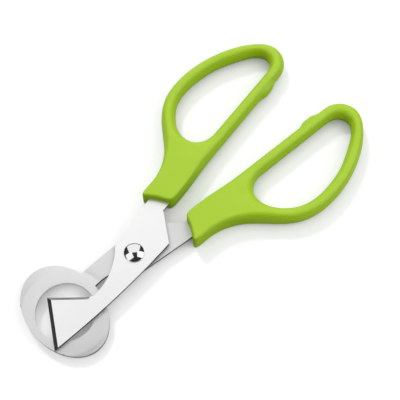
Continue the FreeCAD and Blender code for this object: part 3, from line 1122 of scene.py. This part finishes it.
# ---- Blades ----------------------------------------------------------------
@dataclass
class Blade:
    """One stamped and ground blade with finely broken edges.

    Attributes:
        side: Which side of the scissors it is.
        edge_break: Width of the broken edges, in millimetres.
        edge_rows: Rows of faces on them.
        edge_angle: Edges sharper than this, in degrees, are broken.
        flat_angle: Faces that meet flatter than this, in degrees, are one face.
        hole_centre: The egg hole's centre on the ring blade's drawing.
        hole_reach: From that centre to just past the hole's wall, in millimetres.
    """

    side: Side
    edge_break: float = 0.07
    edge_rows: int = 2
    edge_angle: float = 30.0
    flat_angle: float = 0.6
    hole_centre: tuple[float, float] = (-31.5, 1.1)
    hole_reach: float = 10.75

    @property
    def node(self) -> str:
        """Return the name of the carried node that this piece replaces."""
        return self.side.word + "_blade"

    def steel(self) -> BladeSteel:
        """Choose the finish of this blade's steel.

        Returns:
            The cutter's steel, or the ring's darker, rougher one with lighter painted shade on
            its egg hole's wall.
        """
        drawing = Drawing(self.side)
        turn = self.side.value * drawing.half_opening
        if self.side is Side.CUTTER:
            return BladeSteel("cutter_steel", turn)
        # The egg hole's wall gets lighter painted shade than the other cut edges.
        hole = drawing.place(*self.hole_centre, 0)
        return BladeSteel(
            "ring_steel", turn, dark=0.79, light=0.86, roughness=0.6,
            rim_centre=(hole.x, hole.y), rim_radius=self.hole_reach,
        )

    def build(self) -> bpy.types.Object:
        """Model the blade.

        Returns:
            The finished piece.
        """
        piece = Workpiece(self.side.word + "_blade_ground", frame["nodes"][self.node].data)
        bpy.ops.mesh.select_all(action="SELECT")
        bpy.ops.mesh.dissolve_limited(angle_limit=math.radians(self.flat_angle))
        bpy.ops.mesh.select_mode(type="EDGE")
        bpy.ops.mesh.select_all(action="DESELECT")
        bpy.ops.mesh.edges_select_sharp(sharpness=math.radians(self.edge_angle))
        bpy.ops.mesh.bevel(offset=self.edge_break, segments=self.edge_rows, clamp_overlap=True)
        bpy.ops.mesh.select_mode(type="VERT")
        return piece.take_off(self.edge_angle, large_faces_rule=True)

    def dress(self, piece: bpy.types.Object, steel: bpy.types.Material) -> None:
        """Give the blade its steel and its place on its body.

        Args:
            piece: The blade.
            steel: Its material.
        """
        piece.data.materials.append(steel)
        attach(piece, self.side.body)
        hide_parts(self.node)


# ---- Pivot -----------------------------------------------------------------
@dataclass
class Pivot:
    """The rivet and its cap, turned about the pivot's axis.

    Sizes are in millimetres.

    Attributes:
        head_radius: Radius of the rivet's domed head.
        head_edge: Height of the head's straight side.
        head_height: Height of the whole head.
        cap_radius: Radius of the domed cap under the blades.
        cap_edge: Height of the cap's straight side.
        cap_height: Height of the whole cap.
        bore_depth: Depth of the cap's bore for the shank's end.
        shank_radius: Radius of the rivet's shank.
        bore_radius: Radius of the cap's bore.
        turns: Faces round the axis.
        dome_steps: Rows of faces on each dome.
        smooth_angle: Edges sharper than this, in degrees, stay sharp.
    """

    head_radius: float = 3.6
    head_edge: float = 0.35
    head_height: float = 1.6
    cap_radius: float = 3.3
    cap_edge: float = 0.35
    cap_height: float = 1.5
    bore_depth: float = 0.9
    shank_radius: float = 2.0
    bore_radius: float = 2.01
    turns: int = 96
    dome_steps: int = 14
    smooth_angle: float = 35.0

    def dome(self, radius: float, edge: float, height: float) -> Section:
        """Return a domed disc's side and top, from its lower rim to its crown.

        Args:
            radius: The disc's radius.
            edge: Height of its straight side.
            height: Its whole height.

        Returns:
            The (radius, height) pairs, above its flat face.
        """
        rise = height - edge
        ball = (radius ** 2 + rise ** 2) / (2 * rise)
        spread = math.asin(radius / ball)
        points = [(radius, 0.0)]
        for step in range(self.dome_steps + 1):
            angle = spread * (1 - step / self.dome_steps)
            points.append((ball * math.sin(angle), height - ball * (1 - math.cos(angle))))
        return points

    def rivet_profile(self) -> Section:
        """Return the rivet's section.

        Returns:
            The (radius, height) pairs, from the head's rim to its crown and then
            from the shank's end up to the head.
        """
        low, high = (corner.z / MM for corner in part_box("pivot_rivet"))
        base = high - self.head_height
        head = self.dome(self.head_radius, self.head_edge, self.head_height)
        shank = [(0.0, low), (self.shank_radius, low), (self.shank_radius, base)]
        return [(radius, base + z) for radius, z in head] + shank

    def cap_profile(self) -> Section:
        """Return the cap's section.

        Returns:
            The (radius, height) pairs, from the rim down to the crown and then
            from the bore's roof to its mouth.
        """
        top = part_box("rivet_cap")[1].z / MM
        dome = self.dome(self.cap_radius, self.cap_edge, self.cap_height)
        roof = top - self.bore_depth
        bore = [(0.0, roof), (self.bore_radius, roof), (self.bore_radius, top)]
        return [(radius, top - z) for radius, z in dome] + bore

    def turn(self, name: str, profile: Section) -> bpy.types.Object:
        """Turn a section about the pivot's axis.

        Args:
            name: The piece's name.
            profile: Its (radius, height) pairs.

        Returns:
            The finished piece.
        """
        piece = Workpiece(name)
        centre = PIVOT / MM
        loop = piece.add_loop([Vector((centre.x + r, centre.y, z)) for r, z in profile])
        piece.select(loop)
        bpy.ops.mesh.spin(
            steps=self.turns, angle=math.tau, center=(centre.x, centre.y, 0), axis=(0, 0, 1)
        )
        return piece.take_off(self.smooth_angle)

    def build(self) -> dict[str, bpy.types.Object]:
        """Model both pieces.

        Returns:
            The finished pieces, by the node that each replaces.
        """
        return {
            "pivot_rivet": self.turn("rivet", self.rivet_profile()),
            "rivet_cap": self.turn("rivet_tail_cap", self.cap_profile()),
        }

    def dress(self, piece: bpy.types.Object, node: str, steel: bpy.types.Material) -> None:
        """Give a piece its steel and its place on its body.

        Args:
            piece: The rivet or its cap.
            node: The carried node that it replaces.
            steel: Its material.
        """
        piece.data.materials.append(steel)
        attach(piece, Side.RING.body)
        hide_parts(node)


# ---- Studio ----------------------------------------------------------------
@dataclass(frozen=True)
class Softbox:
    """A rectangular light that faces the scissors.

    Attributes:
        name: The light's name.
        compass: Where it stands round the view, anticlockwise from its right, in degrees.
        lean: Its angle from straight overhead, in degrees.
        width: Its width, in metres.
        height: Its height, in metres.
        radiance: How bright its face is, where 1 is white.
        distance: How far away it stands, in metres.
        shows_in_steel: Whether shiny things mirror it.
    """

    name: str
    compass: float
    lean: float
    width: float
    height: float
    radiance: float
    distance: float = 1.0
    shows_in_steel: bool = True


@dataclass
class Studio:
    """Camera, floor and lights.

    Attributes:
        tilt: The camera's lean from straight down, in degrees.
        heading: Compass angle of that lean, from +X towards +Y, in degrees.
        distance: From the aimed point to the camera, in millimetres.
        aim: The aimed point, measured from the pivot, in millimetres.
        lens: Focal length, in millimetres.
        sensor: Width of the camera's sensor, in millimetres.
        nearest: Nearest thing that the camera sees, in metres.
        floor_radius: Radius of the round floor, in metres.
        floor_sides: Corners of the round floor.
        sky: Brightness of the room, where 1 is white.
        softboxes: The lights, in the order in which they are set up.
    """

    tilt: float = 24.6
    heading: float = -136.8
    distance: float = 329.4
    aim: tuple[float, float] = (31.49, -2.53)
    lens: float = 81.0
    sensor: float = 36.0
    nearest: float = 0.01
    floor_radius: float = 0.13
    floor_sides: int = 64
    sky: float = 0.04
    softboxes: tuple[Softbox, ...] = (
        Softbox("key", compass=120, lean=43, width=0.3, height=0.3, radiance=80,
                distance=2.4, shows_in_steel=False),
        Softbox("fill", compass=325, lean=60, width=1.2, height=1.2, radiance=1.15,
                shows_in_steel=False),
        Softbox("back", compass=98, lean=48, width=1.45, height=1.5, radiance=1.2),
        Softbox("left", compass=204, lean=38, width=0.8, height=0.9, radiance=1.3),
        Softbox("right", compass=2, lean=47, width=0.75, height=1.0, radiance=1.5),
    )

    def axes(self) -> tuple[Vector, Vector, Vector]:
        """Work out which way the camera looks.

        Returns:
            The camera's right, up and backward directions.
        """
        lean, heading = math.radians(self.tilt), math.radians(self.heading)
        level = Vector((math.cos(heading), math.sin(heading), 0))
        back = level * math.sin(lean) + Vector((0, 0, math.cos(lean)))
        up = -level * math.cos(lean) + Vector((0, 0, math.sin(lean)))
        return up.cross(back), up, back

    def target(self) -> Vector:
        """Return the aimed point."""
        return PIVOT + Vector((*self.aim, 0)) * MM

    def set_camera(self) -> None:
        """Add the camera and make it the scene's own."""
        camera = bpy.data.objects.new("camera", bpy.data.cameras.new("camera"))
        bpy.context.scene.collection.objects.link(camera)
        camera.data.lens = self.lens
        camera.data.sensor_width = self.sensor
        camera.data.clip_start = self.nearest
        right, up, back = self.axes()
        camera.matrix_world = Matrix((right, up, back)).transposed().to_4x4()
        camera.location = self.target() + back * self.distance * MM
        bpy.context.scene.camera = camera

    def set_floor(self) -> None:
        """Add the white floor."""
        clear_selection()
        middle = self.target()
        bpy.ops.mesh.primitive_circle_add(
            vertices=self.floor_sides, radius=self.floor_radius, fill_type="NGON",
            location=(middle.x, middle.y, 0),
        )
        floor = bpy.context.object
        floor.name = "floor"
        floor.data.materials.append(WhiteFloor().make())

    def set_world(self) -> None:
        """Light the room with an even grey that the camera sees as white."""
        world = bpy.data.worlds.new("room")
        bpy.context.scene.world = world
        world.use_nodes = True
        shading = Shading(world.node_tree)
        seen = shading.number(shading.node("LightPath", {}, {}), "Is Camera Ray")
        back = shading.node("Background", {}, {
            "Color": shading.grey(self.sky + seen * (1 - self.sky)), "Strength": 1.0,
        })
        shading.node("OutputWorld", {}, {"Surface": back.outputs[0]})

    def add_softbox(self, softbox: Softbox) -> None:
        """Add a light and turn it to the aimed point.

        Args:
            softbox: The light's place, size and brightness.
        """
        light = bpy.data.lights.new(softbox.name, "AREA")
        light.shape = "RECTANGLE"
        light.size, light.size_y = softbox.width, softbox.height
        light.energy = softbox.radiance * math.pi * softbox.width * softbox.height
        lamp = bpy.data.objects.new(softbox.name, light)
        bpy.context.scene.collection.objects.link(lamp)
        right, up, _ = self.axes()
        level_up = Vector((up.x, up.y, 0)).normalized()
        angle, fall = math.radians(softbox.compass), math.radians(softbox.lean)
        level = right * math.cos(angle) + level_up * math.sin(angle)
        towards = level * math.sin(fall) + Vector((0, 0, math.cos(fall)))
        lamp.location = self.target() + towards * softbox.distance
        lamp.rotation_euler = towards.to_track_quat("Z", "Y").to_euler()
        lamp.visible_glossy = softbox.shows_in_steel

    def build(self) -> None:
        """Set up the whole studio."""
        bpy.context.scene.view_settings.view_transform = "Standard"
        self.set_camera()
        self.set_floor()
        self.set_world()
        for softbox in self.softboxes:
            self.add_softbox(softbox)


def log_piece(piece: bpy.types.Object) -> None:
    """Report a finished piece and its number of faces."""
    LOG.info("%s: %d faces", piece.name, len(piece.data.polygons))


def main() -> None:
    """Build, dress and report every piece, then the studio."""
    logging.basicConfig(level=logging.INFO, format="%(message)s")
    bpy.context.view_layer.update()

    plastic = LimePlastic().make()
    for side in Side:
        handle = Handle(side)
        piece = handle.build()
        handle.dress(piece, plastic)
        log_piece(piece)

    for side in Side:
        blade = Blade(side)
        piece = blade.build()
        blade.dress(piece, blade.steel().make())
        log_piece(piece)

    polish = PolishedSteel().make()
    pivot = Pivot()
    for node, piece in pivot.build().items():
        pivot.dress(piece, node, polish)
        log_piece(piece)

    Studio().build()


if __name__ == "__main__":
    main()
